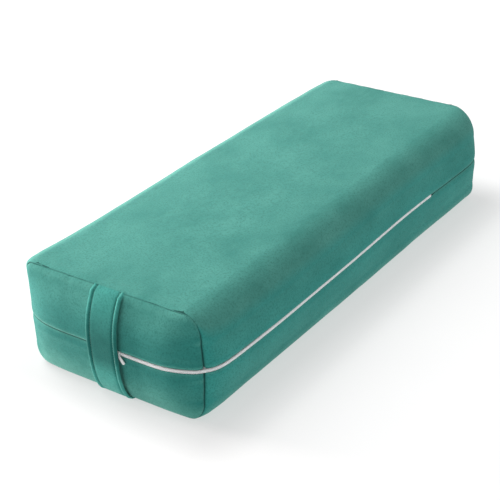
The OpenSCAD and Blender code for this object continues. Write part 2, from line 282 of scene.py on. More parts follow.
def end_skin(f, end, up, spacing, depth=0.0):
    """Points of an end panel, with its columns' heights: one row per rim knot, one column per share f."""
    at_end = np.array([float(end)])
    knots = {side: rim_columns(up, side, spacing) for side in (1, -1)}
    rims = {side: skin(knots[side], at_end, up, depth)[0] for side in (1, -1)}
    heights = {side: column_height(knots[side], up) for side in (1, -1)}
    b = body_h(up)
    rim_x, rim_z = {}, {}
    # The rows follow the arc of the larger edge radius.
    height = heights[max((1, -1), key=lambda side: EDGE_R[(up, side)])]
    for side in (1, -1):
        rim_x[side] = np.interp(height, heights[side], rims[side][:, 0])
        rim_z[side] = np.interp(height, heights[side], rims[side][:, 2])
    share = (height / b)[:, None]
    reach = seam_reach(share, up)
    right = f[None, :] >= 0
    edge_x = np.where(right, rim_x[1][:, None], -rim_x[-1][:, None])
    x = f[None, :] * edge_x
    y = reach + (HALF_L - depth - reach) * swell(x, edge_x, share, up)
    blend = smooth((f[None, :] + 1) / 2)
    z = rim_z[-1][:, None] * (1 - blend) + rim_z[1][:, None] * blend
    if end < 0:
        flat_z = MID_Z + (1 if up else -1) * height[:, None]
        fade = 1 - smooth(height[:, None] / (b * RISE_FADE))
        z = flat_z + fade * front_rise(x)
        z = MID_Z + (z - MID_Z) * (b - depth) / b
    return np.stack([x, end * y + MID_Y, z], -1), height, edge_x


# ---- meshes ------------------------------------------------------------------------------------


def grid_normals(p, outward):
    du = np.gradient(p, axis=0)
    dv = np.gradient(p, axis=1)
    n = np.cross(du, dv)
    n /= np.linalg.norm(n, axis=-1, keepdims=True) + 1e-12
    middle = p.shape[0] // 2, p.shape[1] // 2
    return n if np.dot(n[middle], outward) > 0 else -n


# The seam allowance adds this many rows beyond each edge of a panel.
TURNED_ROWS = 2


def turned_edges(p, fold, depth):
    """Adds the seam allowance: TURNED_ROWS rows beyond each edge, folded along the given directions."""
    for axis in (0, 1):
        q, m = (p, fold) if axis == 0 else (p.swapaxes(0, 1), fold.swapaxes(0, 1))
        first = [q[0] + m[0] * depth, q[0] + m[0] * depth * 0.4]
        last = [q[-1] + m[-1] * depth * 0.4, q[-1] + m[-1] * depth]
        q = np.concatenate([first, q, last])
        m = np.concatenate([[m[0], m[0]], m, [m[-1], m[-1]]])
        p, fold = (q, m) if axis == 0 else (q.swapaxes(0, 1), m.swapaxes(0, 1))
    return p


def mesh_object(name, verts, faces, material, smooth_shaded=True):
    mesh = bpy.data.meshes.new(name)
    mesh.from_pydata([tuple(v) for v in verts], [], faces)
    mesh.validate()
    mesh.update()
    if smooth_shaded:
        mesh.polygons.foreach_set("use_smooth", [True] * len(mesh.polygons))
    obj = bpy.data.objects.new(name, mesh)
    scene.collection.objects.link(obj)
    for m in material if isinstance(material, (list, tuple)) else [material]:
        mesh.materials.append(m)
    return obj


def fix_normals(obj):
    bm = bmesh.new()
    bm.from_mesh(obj.data)
    bmesh.ops.recalc_face_normals(bm, faces=bm.faces)
    bm.to_mesh(obj.data)
    bm.free()


def mark_seams(obj, shade):
    """Stores how close each point is to a seam, for the velvet's crushed pile and the painted shade in the
    seam's crease.
    """
    layer = obj.data.attributes.new("seam", "FLOAT", "POINT")
    layer.data.foreach_set("value", shade.ravel().astype(np.float32))


def grid_object(name, p, outward, material, thickness):
    rows, cols = p.shape[:2]
    i, j = np.meshgrid(np.arange(rows - 1), np.arange(cols - 1), indexing="ij")
    a = (i * cols + j).ravel()
    quads = np.stack([a, a + 1, a + cols + 1, a + cols], -1)
    middle = rows // 2, cols // 2
    n = np.cross(p[middle[0] + 1, middle[1]] - p[middle], p[middle[0], middle[1] + 1] - p[middle])
    if np.dot(n, outward) > 0:
        quads = quads[:, ::-1]
    obj = mesh_object(name, p.reshape(-1, 3), quads.tolist(), material)
    solid = obj.modifiers.new("cloth", "SOLIDIFY")
    solid.thickness = thickness
    solid.offset = -1
    return obj


# ---- materials ---------------------------------------------------------------------------------


def new_material(name):
    m = bpy.data.materials.new(name)
    m.use_nodes = True
    nt = m.node_tree
    return m, nt, nt.nodes["Principled BSDF"]


def node(nt, kind, **values):
    n = nt.nodes.new(kind)
    for k, v in values.items():
        if hasattr(n, k):
            setattr(n, k, v)
        else:
            n.inputs[k.replace("_", " ")].default_value = v
    return n


def noise_at(nt, coords, scale, detail=3.0, stretch=(1, 1, 1), roughness=0.55):
    mapping = node(nt, "ShaderNodeMapping")
    mapping.inputs["Scale"].default_value = stretch
    nt.links.new(coords, mapping.inputs["Vector"])
    n = node(nt, "ShaderNodeTexNoise", Scale=scale, Detail=detail, Roughness=roughness)
    nt.links.new(mapping.outputs["Vector"], n.inputs["Vector"])
    return n.outputs["Fac"]


def blend_colours(nt, fac, a, b, low=0.35, high=0.65):
    ramp = node(nt, "ShaderNodeMapRange")
    ramp.inputs["From Min"].default_value = low
    ramp.inputs["From Max"].default_value = high
    nt.links.new(fac, ramp.inputs["Value"])
    mix = nt.nodes.new("ShaderNodeMix")
    mix.data_type = "RGBA"
    nt.links.new(ramp.outputs["Result"], mix.inputs["Factor"])
    for socket, value in ((mix.inputs[6], a), (mix.inputs[7], b)):
        if isinstance(value, tuple):
            socket.default_value = (*value, 1)
        else:
            nt.links.new(value, socket)
    return mix.outputs[2]


def bumps(nt, shader, layers):
    """Chains bump nodes from (height socket, strength, distance) to the shader's normal."""
    last = None
    for height, strength, distance in layers:
        b = node(nt, "ShaderNodeBump", Strength=strength, Distance=distance)
        nt.links.new(height, b.inputs["Height"])
        if last:
            nt.links.new(last, b.inputs["Normal"])
        last = b.outputs["Normal"]
    nt.links.new(last, shader.inputs["Normal"])


def velvet(name, lit, shaded, under_tilt, seed, sheen=0.24):
    """Short-pile velvet: brushed patches, a fine nap, crushed seams with painted shade in them; lit and
    shaded are (light, dark) pairs, painted lit and painted shaded copies of one colour.

    Faces that lean up or down get the painted lit copy and upright ones the painted shaded copy: painted
    light from above and below.
    under_tilt is the normal's Z at which a face that leans down takes the full painted lit colour.
    """
    m, nt, shader = new_material(name)
    coords = node(nt, "ShaderNodeTexCoord").outputs["Object"]
    shift = node(nt, "ShaderNodeMapping")
    shift.inputs["Location"].default_value = (seed * 0.37, seed * 0.61, seed * 0.23)
    nt.links.new(coords, shift.inputs["Vector"])
    coords = shift.outputs["Vector"]
    patches = noise_at(nt, coords, 16, 4, (1, 0.7, 1))
    brush = noise_at(nt, coords, 70, 4, (1, 0.35, 1), 0.65)
    speckle = noise_at(nt, coords, 420, 3, (1, 1, 1), 0.7)
    facing = node(nt, "ShaderNodeSeparateXYZ")
    nt.links.new(node(nt, "ShaderNodeNewGeometry").outputs["Normal"], facing.inputs["Vector"])
    shaded_and_lit = []
    for light, dark in (shaded, lit):
        mid = tuple((a + b) / 2 for a, b in zip(light, dark))
        broad = blend_colours(nt, patches, dark, light, 0.36, 0.64)
        brushed = blend_colours(nt, brush, mid, broad, 0.25, 0.60)
        deep = tuple(c * DEEP_SHADE for c in dark)
        shaded_and_lit.append(blend_colours(nt, speckle, deep, brushed, 0.24, 0.54))
    # Painted light: the lit copy on faces that lean up, and past under_tilt on faces that lean down; the
    # shaded copy on upright faces.
    above = blend_colours(nt, facing.outputs["Z"], shaded_and_lit[0], shaded_and_lit[1], 0.03, PAINTED_LIGHT_TILT)
    fine = blend_colours(nt, facing.outputs["Z"], shaded_and_lit[1], above, under_tilt, -0.02)
    # Painted shade in the seams' creases, on top of the crushed pile: the seam mask darkens the colour.
    crushed_and_shaded = tuple(c * CRUSHED_PILE_AND_SHADE for c in shaded[1])
    seam = node(nt, "ShaderNodeAttribute", attribute_name="seam").outputs["Fac"]
    nt.links.new(blend_colours(nt, seam, fine, crushed_and_shaded, 0.10, 1.15), shader.inputs["Base Color"])
    rough = node(nt, "ShaderNodeMapRange")
    rough.inputs["To Min"].default_value = 0.78
    rough.inputs["To Max"].default_value = 0.98
    nt.links.new(brush, rough.inputs["Value"])
    nt.links.new(rough.outputs["Result"], shader.inputs["Roughness"])
    pile = noise_at(nt, coords, 1500, 2, (1, 1, 1), 0.7)
    bumps(nt, shader, [(patches, 0.25, 0.004), (brush, 0.30, 0.0012), (pile, 0.45, 0.0005)])
    shader.inputs["Specular IOR Level"].default_value = 0.06
    shader.inputs["Sheen Weight"].default_value = sheen
    shader.inputs["Sheen Roughness"].default_value = 0.42
    shader.inputs["Sheen Tint"].default_value = (*NAP_SHEEN, 1)
    return m


def woven(name, light, dark, threads_per_m, roughness=0.85):
    """Plain-woven cloth: crossing threads in colour and bump."""
    m, nt, shader = new_material(name)
    coords = node(nt, "ShaderNodeTexCoord").outputs["Object"]
    waves = []
    for direction in ("X", "Z"):
        w = node(nt, "ShaderNodeTexWave", Scale=threads_per_m / 6.283, Distortion=1.2)
        w.bands_direction = direction
        nt.links.new(coords, w.inputs["Vector"])
        waves.append(w.outputs["Fac"])
    slub = noise_at(nt, coords, 120, 3)
    shade = blend_colours(nt, slub, dark, light, 0.3, 0.7)
    cross = blend_colours(nt, waves[0], dark, shade, 0.0, 0.6)
    nt.links.new(cross, shader.inputs["Base Color"])
    rough = node(nt, "ShaderNodeMapRange")
    rough.inputs["To Min"].default_value = roughness - 0.1
    rough.inputs["To Max"].default_value = roughness + 0.1
    nt.links.new(slub, rough.inputs["Value"])
    nt.links.new(rough.outputs["Result"], shader.inputs["Roughness"])
    bumps(nt, shader, [(waves[0], 0.5, 0.0003), (waves[1], 0.5, 0.0003), (slub, 0.2, 0.0004)])
    return m


def fibre(name, light, dark, scale, distance):
    """Wadding or open foam: a soft, pitted surface."""
    m, nt, shader = new_material(name)
    coords = node(nt, "ShaderNodeTexCoord").outputs["Object"]
    lumps = noise_at(nt, coords, scale, 5, (1, 1, 1), 0.7)
    cells = node(nt, "ShaderNodeTexVoronoi", Scale=scale * 6)
    nt.links.new(coords, cells.inputs["Vector"])
    nt.links.new(blend_colours(nt, lumps, dark, light, 0.3, 0.7), shader.inputs["Base Color"])
    rough = node(nt, "ShaderNodeMapRange")
    rough.inputs["To Min"].default_value = 0.85
    rough.inputs["To Max"].default_value = 1.0
    nt.links.new(lumps, rough.inputs["Value"])
    nt.links.new(rough.outputs["Result"], shader.inputs["Roughness"])
    bumps(nt, shader, [(lumps, 0.5, distance), (cells.outputs["Distance"], 0.4, distance * 0.4)])
    return m


def hard(name, light, dark, roughness, metallic=0.0, brushed=False, coat=0.0):
    """Enamel, metal or nylon: small shade changes, fine scratches and handling marks."""
    m, nt, shader = new_material(name)
    coords = node(nt, "ShaderNodeTexCoord").outputs["Object"]
    stretch = (1, 1, 12) if brushed else (1, 1, 1)
    marks = noise_at(nt, coords, 900, 4, stretch, 0.7)
    wear = noise_at(nt, coords, 160, 3)
    nt.links.new(blend_colours(nt, wear, dark, light, 0.3, 0.6), shader.inputs["Base Color"])
    rough = node(nt, "ShaderNodeMapRange")
    rough.inputs["To Min"].default_value = roughness * 0.8
    rough.inputs["To Max"].default_value = min(1, roughness * 1.25)
    nt.links.new(marks, rough.inputs["Value"])
    nt.links.new(rough.outputs["Result"], shader.inputs["Roughness"])
    bumps(nt, shader, [(marks, 0.15, 0.0001)])
    shader.inputs["Metallic"].default_value = metallic
    shader.inputs["Coat Weight"].default_value = coat
    return m


# How far a face leans up, as its normal's Z, before it takes the full painted lit colour.
PAINTED_LIGHT_TILT = 0.45
# How dark the pile's deepest specks are, and the seams' crushed pile with its painted crease shade, as shares
# of the dark shade.
DEEP_SHADE = 0.74
CRUSHED_PILE_AND_SHADE = 0.24
# Painted lit and painted shaded copies of each velvet's (light, dark) colours: faces that lean up or down are
# painted lit, upright ones painted shaded.
PILE_PAINTED_LIT = ((0.110, 0.392, 0.332), (0.068, 0.298, 0.252))
PILE_PAINTED_SHADE = ((0.048, 0.330, 0.292), (0.030, 0.252, 0.222))
END_PAINTED_SHADE = ((0.041, 0.266, 0.232), (0.026, 0.203, 0.177))
STRAP_PAINTED_LIT = ((0.080, 0.385, 0.330), (0.048, 0.292, 0.250))
STRAP_PAINTED_SHADE = ((0.026, 0.192, 0.168), (0.017, 0.148, 0.128))
NAP_SHEEN = (0.60, 1.0, 0.90)
velvet_wrap = velvet("velvet_wrap", PILE_PAINTED_LIT, PILE_PAINTED_SHADE, under_tilt=-0.60, seed=1)
velvet_end = velvet("velvet_end", PILE_PAINTED_LIT, END_PAINTED_SHADE, under_tilt=-0.24, seed=2)
velvet_strap = velvet("velvet_strap", STRAP_PAINTED_LIT, STRAP_PAINTED_SHADE, under_tilt=-0.13, seed=3, sheen=0.22)
thread = woven("sewing_thread", (0.10, 0.30, 0.27), (0.06, 0.20, 0.18), threads_per_m=4000)
tape_cloth = woven("zip_tape_weave", (0.82, 0.83, 0.84), (0.66, 0.67, 0.69), threads_per_m=2400)
coil_nylon = hard("zip_coil_nylon", (0.98, 0.99, 1.0), (0.92, 0.93, 0.94), roughness=0.42)
enamel = hard("slider_enamel", (0.86, 0.87, 0.87), (0.74, 0.75, 0.76), roughness=0.30, coat=0.4)
stop_metal = hard("stop_metal", (0.62, 0.63, 0.65), (0.50, 0.51, 0.53), roughness=0.35, metallic=1.0,
                  brushed=True)
case_cotton = woven("case_cotton", (0.82, 0.79, 0.71), (0.70, 0.67, 0.60), threads_per_m=1800)
wadding_fibre = fibre("wadding_fibre", (0.88, 0.88, 0.86), (0.76, 0.76, 0.74), scale=60, distance=0.003)
foam_cells = fibre("foam_cells", (0.86, 0.80, 0.56), (0.72, 0.66, 0.44), scale=150, distance=0.001)

# ---- cover panels ------------------------------------------------------------------------------

GRID = 3.6 * MM
# How deep the cover dips at the zip's edges, at the plain mid-height seam and at the end seams.
ZIP_EDGE_DIP = 0.9 * MM
MID_SEAM_DIP = 1.2 * MM
END_SEAM_DIP = 1.9 * MM
DIP_WIDTH = 1.6 * MM


def gathers(run, seed, size):
    """Irregular gathers along a seam, from 0 to about 1."""
    a = value_noise(run / size, run * 0 + seed, run * 0, seed)
    b = value_noise(run / (size * 0.45), run * 0 + seed, run * 0, seed + 5)
    return np.clip(0.35 + 0.6 * a + 0.35 * b, 0, 1.2)


def seam_relief(distance, depth, width):
    """The narrow dip at a seam, and the slight swell of the filling after it."""
    dip = -depth * np.exp(-((distance / width) ** 1.5))
    after = 0.30 * depth * bell(distance, width * 6, width * 4)
    return dip + after


def relieved(p, n, zip_part, to_equator, to_seam, run_seam, run_equator, seed):
    """Adds seams, gathers and the filling's soft unevenness to a panel."""
    depth_eq = ZIP_EDGE_DIP * zip_part + MID_SEAM_DIP * (1 - zip_part)
    h = seam_relief(to_equator, depth_eq, DIP_WIDTH)
    h = h + seam_relief(to_seam, END_SEAM_DIP, DIP_WIDTH)
    g = gathers(run_seam, seed, 15 * MM)
    h = h - 0.8 * MM * g * np.exp(-to_seam / (8 * MM)) * smooth(to_seam / (1.5 * MM))
    g = gathers(run_equator, seed + 3, 22 * MM)
    h = h - 0.55 * MM * g * np.exp(-to_equator / (7 * MM)) * smooth(to_equator / (2 * MM))
    broad = layered_noise(p, 95 * MM, seed + 11)
    soft = layered_noise(p, 34 * MM, seed + 23)
    calm = smooth(to_equator / (20 * MM)) * smooth(to_seam / (20 * MM))
    h = h + (0.8 * MM * broad + 0.35 * MM * soft) * calm
    resting = smooth((14 * MM - p[..., 2]) / (12 * MM))
    h = h * (1 - resting)
    p = p + n * h[..., None]
    p[..., 2] = np.maximum(p[..., 2], 0.0)
    return p


SEAM_GAP = 0.12 * MM
SEAM_LINE = 0.85 * MM
# The top and bottom end seams look wider: their crushed pile and painted shade fade out more slowly.
TOP_SEAM_SHARE = 0.5


def drawn_apart(distance):
    """How far an edge keeps back from its seam line, so that the two edges meet in a narrow gap."""
    return SEAM_GAP * np.exp(-distance / (3 * MM))


def seam_shade(to_seam, to_equator):
    """1 in the seams, fading out over a millimetre or two, with the turned edges' extra rows."""
    at_seam = np.exp(-((to_seam / SEAM_LINE) ** 1.6))
    at_equator = np.exp(-((to_equator / SEAM_LINE) ** 1.6))
    return np.pad(np.maximum(at_seam, at_equator), TURNED_ROWS, constant_values=1.0)


def wrap_stations():
    """Stations along the length, closest together at the end seams."""
    even = np.linspace(-1, 1, int(2 * SEAM_TOP / GRID))
    return np.sign(even) * (1 - (1 - np.abs(even)) ** 1.3)


def along_zip(y):
    """0 on the front end, rising to 1 along the side."""
    return smooth((y - MID_Y + SEAM_MID - 0.01) / SLOT_LENGTH)


def opened_zip(p, height, zip_part, up):
    """Parts the two halves where the zip shows between them."""
    sign = 1 if up else -1
    slot = SLOT_HALF + (SLOT_FAR - SLOT_HALF) * along_zip(p[..., 1])
    p[..., 2] += sign * (1 - smooth(height / (16 * MM))) * slot * zip_part
    p[..., 2] += sign * drawn_apart(height)
    return p


def wrap_panel(name, up):
    cols = section_columns(up, GRID)
    t = wrap_stations()
    p = skin(cols, t, up)
    b = body_h(up)
    height = column_height(cols, up)[None, :] + 0 * p[..., 0]
    y = p[..., 1] - MID_Y
    zip_part = np.where(p[..., 0] > 0, 1 - smooth((y - ZIP_END_Y) / (14 * MM)), 0)
    p = opened_zip(p, height, zip_part, up)
    outward = np.array([0, 0, 1.0 if up else -1.0])
    n = grid_normals(p, outward)
    along = np.cumsum(np.linalg.norm(np.diff(p[len(t) // 2], axis=0), axis=1))
    along = np.concatenate([[0], along])
    to_equator = np.minimum(along, along[-1] - along)[None, :] + 0 * p[..., 0]
    to_seam = (1 - np.abs(t))[:, None] * seam_reach(height / b, up)
    run_seam = along[None, :] + 0 * p[..., 0]
    p[..., 1] -= np.sign(y) * drawn_apart(to_seam)
    p = relieved(p, n, zip_part, to_equator, to_seam, run_seam, p[..., 1], 1 if up else 2)
    fold = np.stack([-p[..., 0], 0 * y, MID_Z - p[..., 2]], -1)
    fold /= np.linalg.norm(fold, axis=-1, keepdims=True)
    p = turned_edges(p, fold, SEAM_TURN)
    p[..., 2] = np.maximum(p[..., 2], 0.0)
    obj = grid_object(name, p, outward, velvet_wrap, CLOTH_T)
    mark_seams(obj, seam_shade(to_seam, to_equator))
    return obj


def panel_shares(steps):
    even = np.linspace(1, -1, steps)
    return np.sin(even * math.pi / 2) * 0.78 + even * 0.22


def end_panel(name, end, up):
    p, height, edge_x = end_skin(panel_shares(111), end, up, GRID * 0.7)
    height = height[:, None] + 0 * p[..., 0]
    zip_part = smooth((p[..., 0] - 4 * MM) / (40 * MM)) if end < 0 else 0 * p[..., 0]
    p = opened_zip(p, height, zip_part, up)
    outward = np.array([0, float(end), 0])
    n = grid_normals(p, outward)
    b = body_h(up)
    across = np.abs(edge_x) - np.abs(p[..., 0])
    back = np.clip(np.abs(p[..., 1] - MID_Y) - seam_reach(height / b, up), 0, None)
    to_side = np.sqrt(across**2 + back**2)
    to_top = np.sqrt((b - height) ** 2 + back**2)
    to_seam = np.minimum(to_side, to_top)
    run_seam = np.where(to_top < to_side, p[..., 0], p[..., 2])
    seed = 6 + (0 if up else 1) + (2 if end > 0 else 0)
    p[..., 0] -= np.sign(p[..., 0]) * drawn_apart(to_side)
    p[..., 2] -= (1 if up else -1) * drawn_apart(to_top)
    p = relieved(p, n, zip_part, height, to_seam, run_seam, p[..., 0], seed)
    p = turned_edges(p, 0 * p - outward, SEAM_TURN)
    p[..., 2] = np.maximum(p[..., 2], 0.0)
    # At the floor the cloth's thickness lies below the folded rows, so they are lifted by it.
    p[-TURNED_ROWS:, :, 2] = np.maximum(p[-TURNED_ROWS:, :, 2], CLOTH_T)
    obj = grid_object(name, p, outward, velvet_end, CLOTH_T)
    mark_seams(obj, seam_shade(np.minimum(to_side, to_top * TOP_SEAM_SHARE), height))
    return obj


cover = {
    "cover_upper_wrap": wrap_panel("upper_wrap_velvet", True),
    "cover_lower_wrap": wrap_panel("lower_wrap_velvet", False),
    "front_panel_upper": end_panel("front_panel_upper_velvet", -1, True),
    "front_panel_lower": end_panel("front_panel_lower_velvet", -1, False),
    "rear_panel_upper": end_panel("rear_panel_upper_velvet", 1, True),
    "rear_panel_lower": end_panel("rear_panel_lower_velvet", 1, False),
}
for cad_node, piece in cover.items():
    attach(piece, "bolster")
    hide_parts(cad_node)

# ---- inner case and wadding: the same outline, further in ---------------------------------------


def inner_tube(name, depth, thickness, share, material):
    """A closed tube under the cover; share is how much of the length it covers."""
    t = np.linspace(-share, share, 61)
    halves = []
    for up in (True, False):
        halves.append(skin(section_columns(up, 3 * GRID), t, up, depth))
    ring = np.concatenate([halves[0], halves[1][:, -2:0:-1]], axis=1)
    rows, cols = ring.shape[:2]
    faces = []
    for i in range(rows - 1):
        for j in range(cols):
            k = (j + 1) % cols
            faces.append([i * cols + j, (i + 1) * cols + j, (i + 1) * cols + k, i * cols + k])
    obj = mesh_object(name, ring.reshape(-1, 3), faces, material)
    fix_normals(obj)
    solid = obj.modifiers.new("layer", "SOLIDIFY")
    solid.thickness = thickness
    solid.offset = -1
    return obj


def inner_end(name, end, depth, thickness, material):
    """The closed end of a layer: both halves in one sheet."""
    f = np.linspace(1, -1, 41)
    top, _, _ = end_skin(f, end, True, 3 * GRID, depth)
    low, _, _ = end_skin(f, end, False, 3 * GRID, depth)
    p = np.concatenate([low[::-1], top[1:]])
    p[..., 1] -= end * depth * 0.2
    return grid_object(name, p, np.array([0, float(end), 0]), material, thickness)


CASE_DEPTH = 6.2 * MM
CASE_CLOTH = 1.0 * MM
WADDING_DEPTH = 7.6 * MM
WADDING_BODY = 6.5 * MM
CASE_SHARE = 0.985
WADDING_SHARE = 0.96
case = (CASE_DEPTH, CASE_CLOTH)
wadding = (WADDING_DEPTH, WADDING_BODY)
inner = {
    "case_tube": (inner_tube("case_tube_cotton", *case, CASE_SHARE, case_cotton), "case_cotton"),
    "case_front_end": (inner_end("case_front_cotton", -1, *case, case_cotton), "case_cotton"),
    "case_rear_end": (inner_end("case_rear_cotton", 1, *case, case_cotton), "case_cotton"),
    "wadding_wrap": (inner_tube("wadding_wrap_fibre", *wadding, WADDING_SHARE, wadding_fibre), "wadding"),
    "wadding_front_pad": (inner_end("wadding_front_fibre", -1, *wadding, wadding_fibre), "wadding"),
    "wadding_rear_pad": (inner_end("wadding_rear_fibre", 1, *wadding, wadding_fibre), "wadding"),
}
for cad_node, (piece, slot_name) in inner.items():
    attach(piece, "bolster")
    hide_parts(cad_node)

# ---- zip ---------------------------------------------------------------------------------------


def zip_path(spacing):
    """Points along the mid-height seam from the strap, round the corner, to the zip's end."""
    knot = np.array([[1.0, 0.0, 0.0, EDGE_R[(True, 1)]]])
    rim_x = float(skin(knot, np.array([-1.0]), True)[0, 0, 0])
    x = np.linspace(ZIP_START_X, rim_x, 400)
    y = SEAM_MID + (HALF_L - SEAM_MID) * swell(x, rim_x, 0.0, True)
    front = np.stack([x, MID_Y - y, MID_Z + front_rise(x)], -1)
    side = skin(knot, np.linspace(-1, ZIP_END_Y / SEAM_MID, 1200)[1:], True)[:, 0]
    p = np.concatenate([front, side])
    run = np.concatenate([[0], np.cumsum(np.linalg.norm(np.diff(p, axis=0), axis=1))])
    s = np.arange(0, run[-1], spacing)
    q = np.stack([np.interp(s, run, p[:, k]) for k in range(3)], -1)
    for _ in range(6):
        q[1:-1] = (q[:-2] + 2 * q[1:-1] + q[2:]) / 4
    tangent = np.gradient(q, axis=0)
    tangent /= np.linalg.norm(tangent, axis=1, keepdims=True)
    out = np.cross(tangent, np.array([0, 0, 1.0]))
    out /= np.linalg.norm(out, axis=1, keepdims=True)
    q = q - out * (ZIP_SINK * along_zip(q[:, 1]))[:, None]
    return q, tangent, out


TOOTH_PITCH = 1.3 * MM
CHAIN_DEPTH = 0.15 * MM
# How much deeper the chain lies where the gap over it is narrowest.
ZIP_SINK = 0.6 * MM
UP = np.array([0, 0, 1.0])
# One loop of the coil, from its tape to past the middle: up, out and along the zip.
COIL_WIRE = 0.42 * MM
LOOP_REACH = np.array([2.45, 2.2, 1.2, 0.0, -0.55]) * MM
LOOP_BOW = np.array([-0.55, 0.05, 0.35, 0.30, -0.25]) * MM
LOOP_LEAN = np.array([-0.30, -0.22, 0.0, 0.22, 0.30]) * MM
# The tape's section, from the beaded edge at the coil into the cushion.
TAPE_SPACING = 3 * MM
TAPE_HEIGHTS = np.array([0.25, 0.6, 1.4, 2.6, 3.6, 5.0, 8.0, 13.0]) * MM
TAPE_DEPTHS = np.array([-2.2, -1.75, -1.7, -1.9, -2.6, -3.2, -3.6, -3.8]) * MM
TAPE_CLOTH = 0.5 * MM


def add_tube(verts, faces, centres, axis_a, axis_b, radius_a, radius_b, sides=6):
    """Adds a capped tube along the centres; each ring lies in the plane of the two axes."""
    base = len(verts)
    for centre in centres:
        for k in range(sides):
            angle = 2 * math.pi * k / sides
            verts.append(centre + axis_a * math.cos(angle) * radius_a + axis_b * math.sin(angle) * radius_b)
    for r in range(len(centres) - 1):
        for k in range(sides):
            n = (k + 1) % sides
            low, high = base + r * sides, base + (r + 1) * sides
            faces.append([low + k, low + n, high + n, high + k])
    faces.append([base + k for k in range(sides)][::-1])
    faces.append([base + (len(centres) - 1) * sides + k for k in range(sides)])


def coil_row(name, upper):
    """One row of the coil: a bent nylon loop at every pitch, reaching past the middle."""
    q, tangent, out = zip_path(TOOTH_PITCH)
    if not upper:
        q = (q[:-1] + q[1:]) / 2
        tangent, out = tangent[:-1], out[:-1]
    sign = 1 if upper else -1
    verts, faces = [], []
    for k in range(len(q)):
        centres = []
        for reach, bow, lean in zip(LOOP_REACH, LOOP_BOW, LOOP_LEAN):
            centres.append(q[k] + UP * sign * reach + out[k] * (bow - CHAIN_DEPTH) + tangent[k] * lean)
        add_tube(verts, faces, centres, tangent[k], out[k], COIL_WIRE * 1.15, COIL_WIRE)
    obj = mesh_object(name, verts, faces, coil_nylon)
    fix_normals(obj)
    return obj


STAPLE_HALF_W = 0.75 * MM
STAPLE_HALF_T = 0.35 * MM
BOTTOM_STOP = [(True, -2.2 * MM, 2.2 * MM)]
TOP_STOPS = [(False, 0.5 * MM, 2.6 * MM), (False, -2.6 * MM, -0.5 * MM)]


def stop_staple(verts, faces, at_end, low, high):
    """A bent metal staple over the chain, from one height to another."""
    q, tangent, out = zip_path(TOOTH_PITCH)
    k = len(q) - 2 if at_end else 1
    centres = []
    for v in np.linspace(-1, 1, 9):
        height = low + (high - low) * (v + 1) / 2
        centres.append(q[k] + UP * height + out[k] * ((0.55 - 1.1 * v**4) * MM - CHAIN_DEPTH))
    add_tube(verts, faces, centres, tangent[k], out[k], STAPLE_HALF_W, STAPLE_HALF_T, 10)


def stop_object(name, staples):
    verts, faces = [], []
    for staple in staples:
        stop_staple(verts, faces, *staple)
    obj = mesh_object(name, verts, faces, stop_metal)
    fix_normals(obj)
    return obj


def tape_strip(name, upper):
    """The woven tape behind the chain, with its beaded inner edge."""
    q, _, out = zip_path(TAPE_SPACING)
    sign = 1 if upper else -1
    rows = [q + UP * sign * h + out * d for h, d in zip(TAPE_HEIGHTS, TAPE_DEPTHS)]
    p = np.stack(rows, 1)
    return grid_object(name, p, np.array([1.0, 0, 0]), tape_cloth, TAPE_CLOTH)


zip_pieces = {
    "zip_coil_upper": (coil_row("coil_row_upper", True), "zip_coil"),
    "zip_coil_lower": (coil_row("coil_row_lower", False), "zip_coil"),
    "zip_tape_upper": (tape_strip("zip_tape_upper_weave", True), "zip_tape"),
    "zip_tape_lower": (tape_strip("zip_tape_lower_weave", False), "zip_tape"),
    "zip_bottom_stop": (stop_object("bottom_stop_staple", BOTTOM_STOP), "zip_metal"),
    "zip_top_stops": (stop_object("top_stop_staples", TOP_STOPS), "zip_metal"),
}
for cad_node, (piece, slot_name) in zip_pieces.items():
    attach(piece, "bolster")
    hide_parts(cad_node)

# ---- handle ------------------------------------------------------------------------------------

strap_low, strap_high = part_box("handle_sleeve_grip")
STRAP_X = (strap_low.x + strap_high.x) / 2
STRAP_HALF = (strap_high.x - strap_low.x) / 2
STRAP_GAP = 4.4 * MM
STRAP_T = 2.6 * MM
# The height at which the two halves meet.
STRAP_SPLIT = 0.074
GROOVE_IN = 6.8 * MM
# The strap's ends are tucked into the seams: from which share of the height, how far in, and how far
# the top one drops.
TUCK_START = 0.90
TUCK_IN = 2.2 * MM
TUCK_DOWN = 3.2 * MM
STITCH_PITCH = 3.4 * MM
STITCH_BEAD = 0.38 * MM
STITCH_SIDES = 6


def strap_line(steps):
    """The strap's inner face in the YZ plane, from the top seam to the bottom seam."""
    angle = np.linspace(-1, 1, steps)
    share = np.sin(angle * math.pi / 2)
    share = np.sign(share) * np.abs(share) ** 0.9
    up = share < 0
    size = np.abs(share)
    b = np.where(up, UP_H, LOW_H)
    z = MID_Z - np.sign(share) * size * b
    reach = np.where(up, seam_reach(size, True), seam_reach(size, False))
    power = np.where(up, DOME_POWER[True], DOME_POWER[False])
    y = reach + (HALF_L - reach) * np.clip(1 - size**3, 0, 1) ** power
    lift = 0.2 * MM + STRAP_GAP * np.clip(1 - size**2.2, 0, 1) ** 0.7
    tucked = smooth((size - TUCK_START) / 0.1)
    lift = lift - TUCK_IN * tucked
    z = z - np.where(up, TUCK_DOWN * tucked, 0)
    return np.stack([0 * y, MID_Y - y - lift, z], -1)


